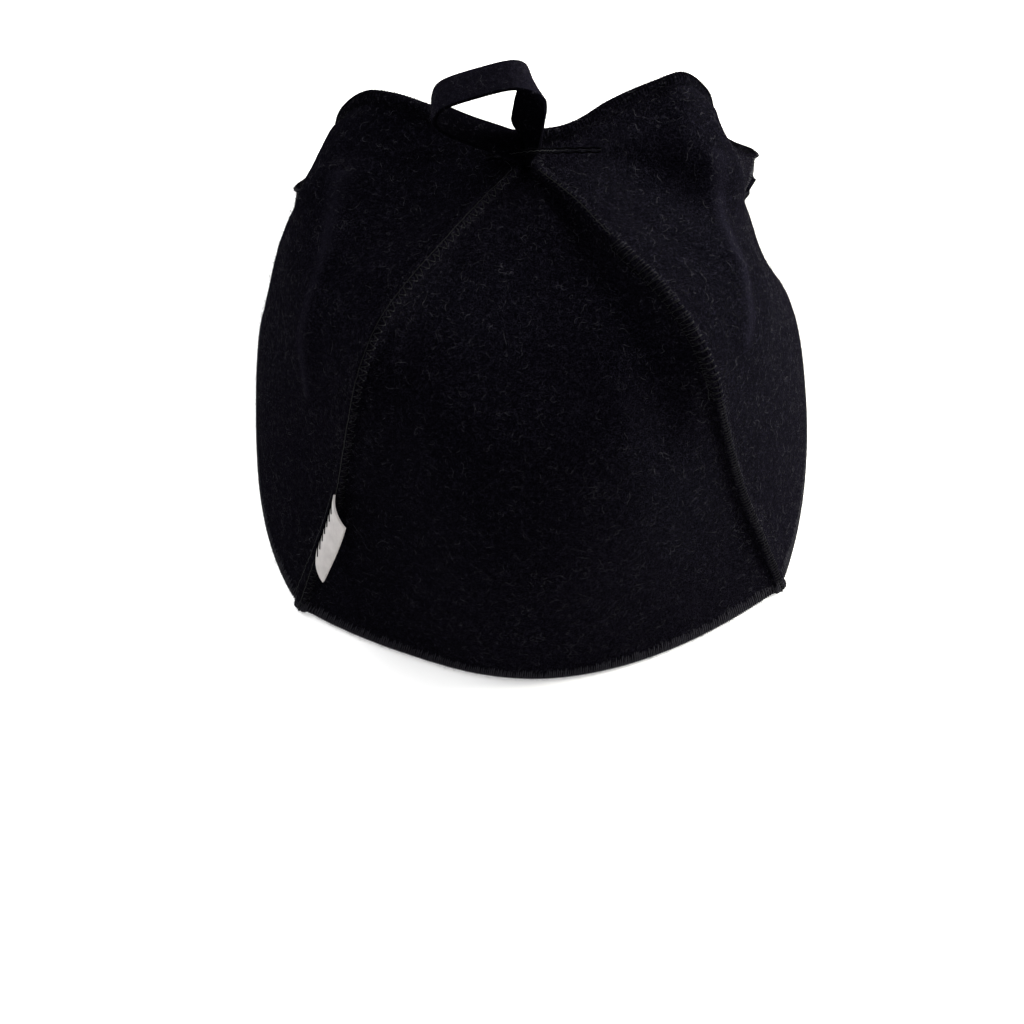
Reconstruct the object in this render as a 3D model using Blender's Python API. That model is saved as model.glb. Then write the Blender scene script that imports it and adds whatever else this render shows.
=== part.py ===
"""A four-gore felt sauna hat, standing on its rim.

Metres, +Z up. The origin is the middle of the rim, on the surface that the hat rests on. The front
gore faces -Y. Four petals of thick felt are sewn edge to edge with the seam allowance outside, so
that each seam is a low fin. A flat strap stands on the apex and a small tag is caught in a seam.
"""
import math
from collections import namedtuple

import bmesh
import bpy
from mathutils import Matrix, Vector

# Driving sizes. The shapes of the seams, the felt and the strap are tables of shares below.
RIM_WIDTH = 0.184        # outside, left to right
RIM_DEPTH = 0.222        # outside, front to back
CROWN_HEIGHT = 0.145     # rim to the seams' meeting point
APEX_ACROSS = -0.025     # where they meet, a share of half the rim's width
APEX_BACK = -0.02        # and of half its depth
CORE_UP = 0.4            # the place that the fins point away from, a share of the height
FELT = 0.003             # wall
SEAM_RISE = 0.0028       # how far a seam's fin stands out of the felt
SEAM_HALF = 0.0021       # half the thickness of the fin, one layer of pressed felt
RIM_RISE = 0.35          # share of the rise that is left at the rim, where the hem presses it flat
RIM_FADE = 0.16          # share of the seam over which it comes up
MOST_FIN = 0.25          # most of a gore's width that half a fin takes, near the apex
SHOULDER_DROP = 0.22     # the fin's shoulder below its crest, a share of the rise
SHOULDER_WIDE = 0.8      # and out from the seam, a share of half the fin
FOOT_ROUND = 0.15        # how far the fin's foot blends up from the felt, a share of the rise
MITRE = 1.2              # felt's thickness at a seam's mitre, in walls
GAP = 0.0003             # clearance between pieces that touch

LOOP_HEIGHT = 0.0400     # strap's centre line above the seams' meeting point
LOOP_SPAN = 0.032        # strap's centre line, left to right
LOOP_WIDTH = 0.0112
LOOP_THICK = 0.0024
FOOT_LEVELS = (-1.0, -0.4, 0.2)  # where its feet run straight, shares of the slot's depth

LABEL_LENGTH = 0.024     # along the seam
LABEL_REACH = 0.0148     # how far it stands out of the seam
LABEL_THICK = 0.001
LABEL_DROOPS = (0.40, 0.16)      # how steeply its lower and its upper edge hang
LABEL_CLEAR = 1.5 * GAP  # from the seam's crest
LABEL_STARTS = (math.radians(17), math.radians(31))  # turns to the front where they leave the seam
LABEL_END = math.radians(73)     # turn at its free edge
LABEL_HEIGHT = 0.0490    # its middle above the rim

# How far from the seams and the apex the folds reach their full depth, as shares of the gore
SEAM_HOLD = 0.08
APEX_HOLD = 0.12

# Smoothness of the meshes
RIM_TO_APEX = 24         # rows of faces on a gore
ACROSS = 12              # columns of faces between two seams
FINE_ACROSS = 4 * ACROSS
CURVE_STEPS = 16         # between two rows of a table
STRAP_ROWS = 44
LABEL_ROWS = 6
SHARP_ANGLE = math.radians(50)

# The crest of each seam from the rim up. across is a share of half the rim's width, back a share of
# half its depth and up a share of the crown's height. Every seam ends at a corner of the slot for
# the strap, which follows from the strap's own size.
SeamRow = namedtuple("SeamRow", "across back up")
SEAMS = {
    "front_right": [
        SeamRow(0.91, -0.68, 0.00),
        SeamRow(0.85, -0.67, 0.15),
        SeamRow(0.75, -0.66, 0.39),
        SeamRow(0.68, -0.65, 0.64),
        SeamRow(0.64, -0.62, 0.79),
        SeamRow(0.55, -0.53, 0.89),
        SeamRow(0.44, -0.42, 0.93),
        SeamRow(0.31, -0.31, 0.95),
        SeamRow(0.15, -0.16, 0.97),
    ],
    "front_left": [
        SeamRow(-0.84, -0.75, 0.00),
        SeamRow(-0.79, -0.74, 0.15),
        SeamRow(-0.70, -0.71, 0.39),
        SeamRow(-0.65, -0.68, 0.64),
        SeamRow(-0.61, -0.63, 0.79),
        SeamRow(-0.54, -0.54, 0.89),
        SeamRow(-0.44, -0.43, 0.93),
        SeamRow(-0.33, -0.32, 0.95),
        SeamRow(-0.18, -0.17, 0.97),
    ],
    "back_right": [
        SeamRow(0.84, 0.97, 0.00),
        SeamRow(0.74, 0.76, 0.25),
        SeamRow(0.69, 0.62, 0.43),
        SeamRow(0.65, 0.45, 0.68),
        SeamRow(0.62, 0.33, 0.88),
        SeamRow(0.54, 0.26, 1.00),
        SeamRow(0.42, 0.21, 1.01),
        SeamRow(0.29, 0.15, 1.01),
        SeamRow(0.16, 0.08, 1.00),
    ],
    "back_left": [
        SeamRow(-0.87, 0.84, 0.00),
        SeamRow(-0.78, 0.69, 0.21),
        SeamRow(-0.73, 0.56, 0.41),
        SeamRow(-0.70, 0.39, 0.67),
        SeamRow(-0.67, 0.29, 0.85),
        SeamRow(-0.59, 0.22, 0.97),
        SeamRow(-0.48, 0.18, 1.00),
        SeamRow(-0.34, 0.13, 1.00),
        SeamRow(-0.19, 0.08, 0.99),
    ],
}

# The middle line of each gore's outer face, in the same shares, ending at the slot's edge. full says
# how the felt rounds from seam to seam: 2 is a parabola, and more is flatter in the middle.
MiddleRow = namedtuple("MiddleRow", "across back up full")
MIDDLES = {
    "gore_front": [
        MiddleRow(0.05, -1.00, 0.00, 1.9),
        MiddleRow(0.00, -1.00, 0.22, 2.0),
        MiddleRow(0.00, -0.97, 0.45, 2.2),
        MiddleRow(0.00, -0.84, 0.68, 2.2),
        MiddleRow(0.00, -0.60, 0.82, 2.0),
        MiddleRow(0.00, -0.36, 0.89, 2.0),
    ],
    "gore_right": [
        MiddleRow(1.00, 0.10, 0.00, 2.4),
        MiddleRow(0.97, 0.00, 0.27, 2.3),
        MiddleRow(0.88, -0.10, 0.57, 2.2),
        MiddleRow(0.79, -0.13, 0.76, 2.0),
        MiddleRow(0.64, -0.11, 0.87, 2.0),
        MiddleRow(0.35, -0.05, 0.93, 2.0),
    ],
    "gore_back": [
        MiddleRow(-0.01, 1.00, 0.00, 2.2),
        MiddleRow(0.00, 0.77, 0.24, 2.0),
        MiddleRow(0.00, 0.55, 0.48, 2.0),
        MiddleRow(0.00, 0.35, 0.70, 2.0),
        MiddleRow(0.00, 0.17, 0.89, 2.0),
    ],
    "gore_left": [
        MiddleRow(-1.00, -0.02, 0.00, 2.7),
        MiddleRow(-0.97, -0.06, 0.27, 2.4),
        MiddleRow(-0.90, -0.08, 0.57, 2.2),
        MiddleRow(-0.81, -0.11, 0.76, 2.0),
        MiddleRow(-0.66, -0.10, 0.87, 2.0),
        MiddleRow(-0.36, -0.04, 0.93, 2.0),
    ],
}

# The seams that bound each gore, in the order that turns to the right seen from outside.
GORES = {
    "gore_front": ("front_left", "front_right"),
    "gore_right": ("front_right", "back_right"),
    "gore_back": ("back_right", "back_left"),
    "gore_left": ("back_left", "front_left"),
}

# Soft dents and ridges in the felt. Each runs straight between two places, given as shares of the way
# from the gore's first seam to its second and from the rim to the apex. depth is a share of the
# rim's width and is negative for a ridge, and wide is a share of the gore.
Fold = namedtuple("Fold", "across level to_across to_level depth wide")
FOLDS = {
    "gore_front": [
        Fold(0.88, 0.92, 0.88, 0.52, 0.020, 0.07),
        Fold(0.18, 0.32, 0.22, 0.14, 0.018, 0.12),
        Fold(0.10, 0.80, 0.12, 0.45, 0.010, 0.07),
    ],
    "gore_right": [
        Fold(0.96, 0.69, 0.70, 0.66, -0.022, 0.08),
        Fold(0.70, 0.66, 0.25, 0.52, -0.014, 0.09),
        Fold(0.87, 0.00, 0.85, 0.22, 0.068, 0.09),
        Fold(0.62, 0.82, 0.30, 0.78, 0.014, 0.10),
        Fold(0.88, 0.36, 0.88, 0.56, 0.022, 0.08),
        Fold(0.55, 0.68, 0.82, 0.06, 0.030, 0.15),
    ],
    "gore_back": [
        Fold(0.50, 0.60, 0.50, 0.25, 0.012, 0.20),
    ],
    "gore_left": [
        Fold(0.12, 0.68, 0.37, 0.66, -0.020, 0.08),
        Fold(0.37, 0.66, 0.75, 0.50, -0.014, 0.09),
        Fold(0.13, 0.00, 0.14, 0.12, 0.034, 0.09),
        Fold(0.12, 0.12, 0.12, 0.48, 0.040, 0.09),
        Fold(0.40, 0.82, 0.70, 0.78, 0.014, 0.10),
    ],
}

# The strap's centre line from one foot to the other, above the seams' meeting point. across is a
# share of LOOP_SPAN, up a share of LOOP_HEIGHT and turn how many degrees the strap is twisted.
StrapRow = namedtuple("StrapRow", "across up turn")
STRAP = [
    StrapRow(-0.22, 0.12, 0),
    StrapRow(-0.56, 0.27, 0),
    StrapRow(-0.83, 0.43, 0),
    StrapRow(-0.90, 0.57, 0),
    StrapRow(-0.80, 0.74, 0),
    StrapRow(-0.43, 0.90, 0),
    StrapRow(-0.12, 0.99, 0),
    StrapRow(0.04, 0.93, 12),
    StrapRow(0.08, 0.78, 42),
    StrapRow(0.06, 0.58, 62),
    StrapRow(0.03, 0.34, 62),
    StrapRow(0.04, 0.16, 40),
]

MATERIALS = {
    "felt": {"colour": (0.012, 0.012, 0.014, 1.0), "roughness": 0.95},
    "woven_tag": {"colour": (0.72, 0.68, 0.62, 1.0), "roughness": 0.8},
}

APEX = Vector((APEX_ACROSS * RIM_WIDTH / 2, APEX_BACK * RIM_DEPTH / 2, CROWN_HEIGHT))
SLOT_X = LOOP_THICK + 1.5 * GAP
SLOT_Y = LOOP_WIDTH / 2 + GAP
CORE = Vector((0.0, 0.0, CORE_UP * CROWN_HEIGHT))
UP = Vector((0.0, 0.0, 1.0))
SeamFrame = namedtuple("SeamFrame", "crest foot out sideways")


def clear_scene():
    for obj in list(bpy.data.objects):
        bpy.data.objects.remove(obj, do_unlink=True)


def material(name):
    """The named Principled material, made once."""
    found = bpy.data.materials.get(name)
    if found:
        return found
    made = bpy.data.materials.new(name)
    made.use_nodes = True
    shader = made.node_tree.nodes["Principled BSDF"]
    shader.inputs["Base Color"].default_value = MATERIALS[name]["colour"]
    shader.inputs["Roughness"].default_value = MATERIALS[name]["roughness"]
    shader.inputs["Metallic"].default_value = 0.0
    made.diffuse_color = MATERIALS[name]["colour"]
    return made


def ease(t):
    """From 0 to 1 with a level start and end."""
    t = min(max(t, 0.0), 1.0)
    return t * t * (3 - 2 * t)


def place(row):
    """A table's row as a point."""
    return Vector((row.across * RIM_WIDTH / 2, row.back * RIM_DEPTH / 2, row.up * CROWN_HEIGHT))


def lengths_along(line):
    run = [0.0]
    for a, b in zip(line, line[1:]):
        run.append(run[-1] + (b - a).length)
    return run


def spaced(line, shares):
    """Points of a line at the given shares of its length."""
    run = lengths_along(line)
    found = []
    k = 0
    for share in shares:
        goal = share * run[-1]
        while k < len(line) - 2 and run[k + 1] < goal:
            k += 1
        step = run[k + 1] - run[k]
        t = (goal - run[k]) / step if step > 0 else 0.0
        found.append(line[k].lerp(line[k + 1], min(max(t, 0.0), 1.0)))
    return found


def smooth(points, count):
    """A smooth line through the points, read at count + 1 places an equal way apart."""
    before = 2 * points[0] - points[1]
    after = 2 * points[-1] - points[-2]
    ends = [before] + list(points) + [after]
    fine = []
    for p0, p1, p2, p3 in zip(ends, ends[1:], ends[2:], ends[3:]):
        for step in range(CURVE_STEPS):
            t = step / CURVE_STEPS
            bend = (2 * p0 - 5 * p1 + 4 * p2 - p3) * t ** 2
            twist = (3 * p1 - p0 - 3 * p2 + p3) * t ** 3
            fine.append(0.5 * (2 * p1 + (p2 - p0) * t + bend + twist))
    fine.append(points[-1].copy())
    return spaced(fine, [i / count for i in range(count + 1)])


def slot_corner(name):
    """Where a seam ends: its corner of the slot that the strap's feet fill."""
    side = 1 if name.endswith("right") else -1
    end = 1 if name.startswith("back") else -1
    return APEX + Vector((side * SLOT_X, end * SLOT_Y, 0.0))


def slot_edge(gore):
    """The middle of the slot's edge that a gore ends at, on the felt's outer face."""
    first, second = GORES[gore]
    return (slot_corner(first) + slot_corner(second)) / 2 - UP * SEAM_RISE


def seam_frames(name):
    """A seam at each row: crest, foot on the felt, and its outward and sideways directions."""
    crest = smooth([place(row) for row in SEAMS[name]] + [slot_corner(name)], RIM_TO_APEX)
    frames = []
    for i, point in enumerate(crest):
        along = (crest[min(i + 1, RIM_TO_APEX)] - crest[max(i - 1, 0)]).normalized()
        out = point - CORE
        out = (out - along * out.dot(along)).normalized()
        if i == 0:
            out = Vector((point.x, point.y, 0.0)).normalized()
        if i == RIM_TO_APEX:
            out = UP.copy()
        rise = SEAM_RISE * (RIM_RISE + (1 - RIM_RISE) * ease(i / RIM_TO_APEX / RIM_FADE))
        frames.append(SeamFrame(point, point - out * rise, out, along.cross(out).normalized()))
    return frames


def fullness(gore, level):
    """How full a gore's section is at a level, read between the rows of its middle line."""
    rows = MIDDLES[gore]
    at = level * (len(rows) - 1)
    k = min(int(at), len(rows) - 2)
    return rows[k].full + (rows[k + 1].full - rows[k].full) * (at - k)


def fold_depth(gore, across, level):
    """How far the felt is pressed in at a place of a gore."""
    total = 0.0
    for fold in FOLDS[gore]:
        run = (fold.to_across - fold.across, fold.to_level - fold.level)
        gone = (across - fold.across, level - fold.level)
        t = (gone[0] * run[0] + gone[1] * run[1]) / (run[0] ** 2 + run[1] ** 2)
        t = min(max(t, 0.0), 1.0)
        away = math.hypot(gone[0] - t * run[0], gone[1] - t * run[1])
        total += fold.depth * RIM_WIDTH * math.exp(-(away / fold.wide) ** 2)
    return total


def outer_face(gore, first, second):
    """The felt's outer face as rows of points from one seam's foot to the other's."""
    middle = smooth([place(row) for row in MIDDLES[gore]] + [slot_edge(gore)], RIM_TO_APEX)
    rows = []
    for i in range(RIM_TO_APEX + 1):
        start = first[i].foot
        end = second[i].foot
        bulge = middle[i] - (start + end) / 2
        full = fullness(gore, i / RIM_TO_APEX)
        row = []
        for k in range(FINE_ACROSS + 1):
            across = k / FINE_ACROSS
            row.append(start.lerp(end, across) + bulge * (1 - abs(2 * across - 1) ** full))
        rows.append(row)
    return rows


def normals_of(rows):
    """Outward normals of a grid of points, level at the rim and upright at the slot."""
    last_row = len(rows) - 1
    last = len(rows[0]) - 1
    normals = []
    for i, row in enumerate(rows):
        line = []
        for k in range(len(row)):
            across = row[min(k + 1, last)] - row[max(k - 1, 0)]
            along = rows[min(i + 1, last_row)][k] - rows[max(i - 1, 0)][k]
            normal = across.cross(along).normalized()
            if i == 0:
                normal = Vector((normal.x, normal.y, 0.0)).normalized()
            if i == last_row:
                normal = UP.copy()
            line.append(normal)
        normals.append(line)
    return normals


def folded(gore, rows):
    """The outer face with its folds pressed in. They die away at the seams and the apex."""
    normals = normals_of(rows)
    for i, row in enumerate(rows):
        level = i / RIM_TO_APEX
        for k, point in enumerate(row):
            across = k / FINE_ACROSS
            seams = min(1.0, across / SEAM_HOLD, (1 - across) / SEAM_HOLD)
            held = seams * min(1.0, (1 - level) / APEX_HOLD)
            row[k] = point - normals[i][k] * fold_depth(gore, across, level) * held
    return rows


def fin_edge(frame, side, foot, normal):
    """Outer points of half a seam's fin: crest, shoulder and foot."""
    inward = -side * frame.sideways
    rise = (frame.crest - frame.foot).length
    fin = (foot - frame.foot).length
    top = frame.crest + inward * GAP / 2
    shoulder = frame.crest - frame.out * rise * SHOULDER_DROP + inward * fin * SHOULDER_WIDE
    return [top, shoulder, foot + normal * rise * FOOT_ROUND]


def mitred(frame, side, clear):
    """Inner points beside a seam, on a straight line from the mitred edge to the first clear one."""
    edge = frame.foot - frame.out * MITRE * FELT - side * frame.sideways * GAP / 2
    return [edge, edge.lerp(clear, 1 / 3), edge.lerp(clear, 2 / 3)]


def gore_sections(gore):
    """Closed sections of a gore from the rim to the slot: outer face, then back along the inner."""
    first = seam_frames(GORES[gore][0])
    second = seam_frames(GORES[gore][1])
    rows = folded(gore, outer_face(gore, first, second))
    fine_normals = normals_of(rows)
    sections = []
    for i, row in enumerate(rows):
        width = lengths_along(row)[-1]
        fin = min(SEAM_HALF, MOST_FIN * width) / width
        inside = [2 * fin + (1 - 4 * fin) * k / ACROSS for k in range(ACROSS + 1)]
        shares = [fin] + inside + [1 - fin]
        points = spaced(row, shares)
        normals = [normal.normalized() for normal in spaced(fine_normals[i], shares)]
        start = fin_edge(first[i], -1, points[0], normals[0])
        end = fin_edge(second[i], 1, points[-1], normals[-1])
        outer = start + points[1:-1] + end[::-1]
        inner = [point - normal * FELT for point, normal in zip(points, normals)]
        start = mitred(first[i], -1, inner[2])
        end = mitred(second[i], 1, inner[-3])
        inner = start + inner[2:-2] + end[::-1]
        if i == 0:
            for point in outer + inner:
                point.z = 0.0
        sections.append(outer + inner[::-1])
    return sections


def body_from_sections(name, sections, skin):
    """One closed solid through sections that are each an outer line followed by an inner one."""
    mesh = bpy.data.meshes.new(name)
    bm = bmesh.new()
    rings = [[bm.verts.new(point) for point in section] for section in sections]
    for low, high in zip(rings, rings[1:]):
        for k in range(len(low)):
            n = (k + 1) % len(low)
            bm.faces.new((low[k], low[n], high[n], high[k]))
    for ring in (rings[0], rings[-1]):
        for k in range(len(ring) // 2 - 1):
            bm.faces.new((ring[k], ring[k + 1], ring[-2 - k], ring[-1 - k]))
    bmesh.ops.recalc_face_normals(bm, faces=bm.faces)
    bm.to_mesh(mesh)
    bm.free()
    mesh.shade_smooth()
    mesh.set_sharp_from_angle(angle=SHARP_ANGLE)
    mesh.materials.append(material(skin))
    piece = bpy.data.objects.new(name, mesh)
    bpy.context.scene.collection.objects.link(piece)
    return piece


def strap_path():
    """The strap's centre line and how far it is twisted, from foot to foot."""
    side = (LOOP_THICK + GAP) / 2
    levels = [share * (SEAM_RISE + FELT) for share in FOOT_LEVELS]
    points = [Vector((-side, 0.0, level)) for level in levels]
    points += [Vector((row.across * LOOP_SPAN, 0.0, row.up * LOOP_HEIGHT)) for row in STRAP]
    points += [Vector((side, 0.0, level)) for level in reversed(levels)]
    turns = [0.0] * len(levels) + [row.turn for row in STRAP] + [0.0] * len(levels)
    run = lengths_along(points)
    twists = []
    for i in range(STRAP_ROWS + 1):
        goal = run[-1] * i / STRAP_ROWS
        k = max(n for n in range(len(run) - 1) if run[n] <= goal)
        t = (goal - run[k]) / (run[k + 1] - run[k])
        twists.append(math.radians(turns[k] + (turns[k + 1] - turns[k]) * t))
    return smooth(points, STRAP_ROWS), twists


def strap_section():
    """The strap's cross-section, its two faces as (width, thickness) points, corners cut off."""
    half_wide = LOOP_WIDTH / 2
    half_thick = LOOP_THICK / 2
    cut = half_thick / 2
    face = [
        (-half_wide, half_thick - cut),
        (cut - half_wide, half_thick),
        (half_wide - cut, half_thick),
        (half_wide, half_thick - cut),
    ]
    return face + [(wide, -thick) for wide, thick in reversed(face)]


def build_strap():
    """The strap on the apex, a flat ribbon that turns and twists from foot to foot."""
    line, twists = strap_path()
    sections = []
    for i, point in enumerate(line):
        along = (line[min(i + 1, STRAP_ROWS)] - line[max(i - 1, 0)]).normalized()
        if i == 0:
            along = UP.copy()
        if i == STRAP_ROWS:
            along = -UP
        wide = Vector((-math.sin(twists[i]), math.cos(twists[i]), 0.0))
        wide = (wide - along * wide.dot(along)).normalized()
        thick = along.cross(wide)
        sections.append([APEX + point + wide * w + thick * t for w, t in strap_section()])
    return body_from_sections("hanging_loop", sections, "felt")


def build_label():
    """The tag: it leaves the seam's crest and curls round towards the front."""
    frames = seam_frames("front_left")
    crest = [frame.crest for frame in frames]
    run = lengths_along(crest)
    row = next(n for n in range(RIM_TO_APEX) if crest[n + 1].z > LABEL_HEIGHT)
    rest = (LABEL_HEIGHT - crest[row].z) / (crest[row + 1].z - crest[row].z)
    middle = run[row] + (run[row + 1] - run[row]) * rest
    places = [middle + LABEL_LENGTH * (k / LABEL_ROWS - 0.5) for k in range(LABEL_ROWS + 1)]
    sections = []
    for n, root in enumerate(spaced(crest, [length / run[-1] for length in places])):
        droop, begin = (low + (top - low) * n / LABEL_ROWS for low, top in (LABEL_DROOPS, LABEL_STARTS))
        point = root + frames[row].out * LABEL_CLEAR
        outer = []
        inner = []
        for k in range(LABEL_ROWS + 1):
            turn = begin + (LABEL_END - begin) * k / LABEL_ROWS
            ahead = Matrix.Rotation(turn, 3, "Z") @ frames[row].out - UP * droop
            flank = ahead.cross(UP).normalized()
            outer.append(point + flank * LABEL_THICK / 2)
            inner.append(point - flank * LABEL_THICK / 2)
            point = point + ahead.normalized() * LABEL_REACH / LABEL_ROWS
        sections.append(outer + inner[::-1])
    return body_from_sections("label", sections, "woven_tag")


def stand_at_origin(pieces):
    """Moves the pieces together so that the middle of their box's base is the origin."""
    corners = [vertex.co for piece in pieces for vertex in piece.data.vertices]
    low = Vector([min(corner[k] for corner in corners) for k in range(3)])
    high = Vector([max(corner[k] for corner in corners) for k in range(3)])
    base = Vector(((low.x + high.x) / 2, (low.y + high.y) / 2, low.z))
    for piece in pieces:
        piece.data.transform(Matrix.Translation(-base))


def main():
    clear_scene()
    pieces = [body_from_sections(gore, gore_sections(gore), "felt") for gore in GORES]
    pieces.append(build_strap())
    pieces.append(build_label())
    stand_at_origin(pieces)


main()
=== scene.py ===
import math
from collections import namedtuple

import bpy
import numpy as np
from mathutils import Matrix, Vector, noise
from mathutils.bvhtree import BVHTree


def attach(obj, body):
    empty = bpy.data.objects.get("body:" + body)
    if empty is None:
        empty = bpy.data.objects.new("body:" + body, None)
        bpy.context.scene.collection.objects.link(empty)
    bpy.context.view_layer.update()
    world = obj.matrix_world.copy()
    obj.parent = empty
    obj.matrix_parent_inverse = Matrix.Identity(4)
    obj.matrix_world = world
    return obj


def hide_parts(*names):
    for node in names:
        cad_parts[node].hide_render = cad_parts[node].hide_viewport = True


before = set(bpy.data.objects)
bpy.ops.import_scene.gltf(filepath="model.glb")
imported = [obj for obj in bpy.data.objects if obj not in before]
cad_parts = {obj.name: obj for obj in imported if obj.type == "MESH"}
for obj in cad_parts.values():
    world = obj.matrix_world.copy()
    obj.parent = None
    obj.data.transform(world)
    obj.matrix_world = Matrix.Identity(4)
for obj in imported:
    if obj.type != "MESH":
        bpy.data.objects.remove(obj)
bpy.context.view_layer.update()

# The hat's sizes, in metres, as its solids have them. The tag alone is made thinner.
RIM_WIDTH = 0.184        # outside, left to right
RIM_DEPTH = 0.222        # outside, front to back
CROWN_HEIGHT = 0.145     # rim to the seams' meeting point
APEX_ACROSS = -0.025     # where they meet, a share of half the rim's width
APEX_BACK = -0.02        # and of half its depth
CORE_UP = 0.4            # the place that the fins point away from, a share of the height
FELT = 0.003             # wall
SEAM_RISE = 0.0028       # how far a seam's fin stands out of the felt
SEAM_HALF = 0.0021       # half the thickness of the fin
RIM_RISE = 0.35          # share of the rise that is left at the rim
RIM_FADE = 0.16          # share of the seam over which it comes up
MOST_FIN = 0.25          # most of a gore's width that half a fin takes, near the apex
MITRE = 1.2              # felt's thickness at a seam's mitre, in walls
GAP = 0.0003             # clearance between pieces that touch
LOOP_HEIGHT = 0.0400     # strap's centre line above the seams' meeting point
LOOP_SPAN = 0.032        # strap's centre line, left to right
LOOP_WIDTH = 0.0112
LOOP_THICK = 0.0024
FOOT_LEVELS = (-1.0, -0.4, 0.2)  # where its feet run straight, shares of the slot's depth
LABEL_LENGTH = 0.024     # along the seam
LABEL_REACH = 0.0148     # how far it stands out of the seam
LABEL_THICK = 0.0007
LABEL_DROOPS = (0.40, 0.16)      # how steeply its lower and its upper edge hang
LABEL_CLEAR = 1.5 * GAP  # from the seam's crest
LABEL_STARTS = (math.radians(17), math.radians(31))  # turns to the front where they leave the seam
LABEL_END = math.radians(73)     # turn at its free edge
LABEL_HEIGHT = 0.0490    # its middle above the rim

# How far from the seams and the apex the folds reach their full depth, as shares of the gore
SEAM_HOLD = 0.08
APEX_HOLD = 0.12

# Softness that the solids leave out: the strap's cut edges and the tag's slow wave
CUT_THIN = 0.30          # share of its thickness that the strap loses at its edges
CUT_POWER = 6            # how close to the edges it thins
WAVE_DEEP = 0.0004
WAVE_TURNS = (3.0, 2.2)  # radians along the seam and away from it

# Smoothness of the finer meshes
RIM_TO_APEX = 112        # rows of faces on a gore
ACROSS = 84              # columns of faces between two seams
FINE_ACROSS = 2 * ACROSS
CURVE_STEPS = 32         # between two rows of a table
STRAP_ROWS = 170
STRAP_COLUMNS = 7
LABEL_ROWS = 22
FELT_SHARP = 60          # degrees between faces that are not shaded as one
NARROW_SHARP = 50
TINY = 1e-12             # keeps a division from failing
INSIDE = 1e-3            # keeps a reading inside the last cell of a grid

# A fin turns level at the rim and upright at the apex, each within 1 / FIN_TURN of its length
FIN_TURN = 24

# The fin of a seam from its crest to the felt: how far down and out, as shares of its size
FIN_PROFILE = ((0.00, 0.0), (0.03, 0.40), (0.13, 0.74), (0.32, 0.93), (0.58, 1.0))
FOOT_ROUND = 0.15

# The crest of each seam from the rim up, in shares of half the rim's width and depth and of the
# crown's height
SeamRow = namedtuple("SeamRow", "across back up")
SEAMS = {
    "front_right": [
        SeamRow(0.91, -0.68, 0.00),
        SeamRow(0.85, -0.67, 0.15),
        SeamRow(0.75, -0.66, 0.39),
        SeamRow(0.68, -0.65, 0.64),
        SeamRow(0.64, -0.62, 0.79),
        SeamRow(0.55, -0.53, 0.89),
        SeamRow(0.44, -0.42, 0.93),
        SeamRow(0.31, -0.31, 0.95),
        SeamRow(0.15, -0.16, 0.97),
    ],
    "front_left": [
        SeamRow(-0.84, -0.75, 0.00),
        SeamRow(-0.79, -0.74, 0.15),
        SeamRow(-0.70, -0.71, 0.39),
        SeamRow(-0.65, -0.68, 0.64),
        SeamRow(-0.61, -0.63, 0.79),
        SeamRow(-0.54, -0.54, 0.89),
        SeamRow(-0.44, -0.43, 0.93),
        SeamRow(-0.33, -0.32, 0.95),
        SeamRow(-0.18, -0.17, 0.97),
    ],
    "back_right": [
        SeamRow(0.84, 0.97, 0.00),
        SeamRow(0.74, 0.76, 0.25),
        SeamRow(0.69, 0.62, 0.43),
        SeamRow(0.65, 0.45, 0.68),
        SeamRow(0.62, 0.33, 0.88),
        SeamRow(0.54, 0.26, 1.00),
        SeamRow(0.42, 0.21, 1.01),
        SeamRow(0.29, 0.15, 1.01),
        SeamRow(0.16, 0.08, 1.00),
    ],
    "back_left": [
        SeamRow(-0.87, 0.84, 0.00),
        SeamRow(-0.78, 0.69, 0.21),
        SeamRow(-0.73, 0.56, 0.41),
        SeamRow(-0.70, 0.39, 0.67),
        SeamRow(-0.67, 0.29, 0.85),
        SeamRow(-0.59, 0.22, 0.97),
        SeamRow(-0.48, 0.18, 1.00),
        SeamRow(-0.34, 0.13, 1.00),
        SeamRow(-0.19, 0.08, 0.99),
    ],
}

# The middle line of each gore in the same shares, and how full its section is
MiddleRow = namedtuple("MiddleRow", "across back up full")
MIDDLES = {
    "gore_front": [
        MiddleRow(0.05, -1.00, 0.00, 1.9),
        MiddleRow(0.00, -1.00, 0.22, 2.0),
        MiddleRow(0.00, -0.97, 0.45, 2.2),
        MiddleRow(0.00, -0.84, 0.68, 2.2),
        MiddleRow(0.00, -0.60, 0.82, 2.0),
        MiddleRow(0.00, -0.36, 0.89, 2.0),
    ],
    "gore_right": [
        MiddleRow(1.00, 0.10, 0.00, 2.4),
        MiddleRow(0.97, 0.00, 0.27, 2.3),
        MiddleRow(0.88, -0.10, 0.57, 2.2),
        MiddleRow(0.79, -0.13, 0.76, 2.0),
        MiddleRow(0.64, -0.11, 0.87, 2.0),
        MiddleRow(0.35, -0.05, 0.93, 2.0),
    ],
    "gore_back": [
        MiddleRow(-0.01, 1.00, 0.00, 2.2),
        MiddleRow(0.00, 0.77, 0.24, 2.0),
        MiddleRow(0.00, 0.55, 0.48, 2.0),
        MiddleRow(0.00, 0.35, 0.70, 2.0),
        MiddleRow(0.00, 0.17, 0.89, 2.0),
    ],
    "gore_left": [
        MiddleRow(-1.00, -0.02, 0.00, 2.7),
        MiddleRow(-0.97, -0.06, 0.27, 2.4),
        MiddleRow(-0.90, -0.08, 0.57, 2.2),
        MiddleRow(-0.81, -0.11, 0.76, 2.0),
        MiddleRow(-0.66, -0.10, 0.87, 2.0),
        MiddleRow(-0.36, -0.04, 0.93, 2.0),
    ],
}

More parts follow.
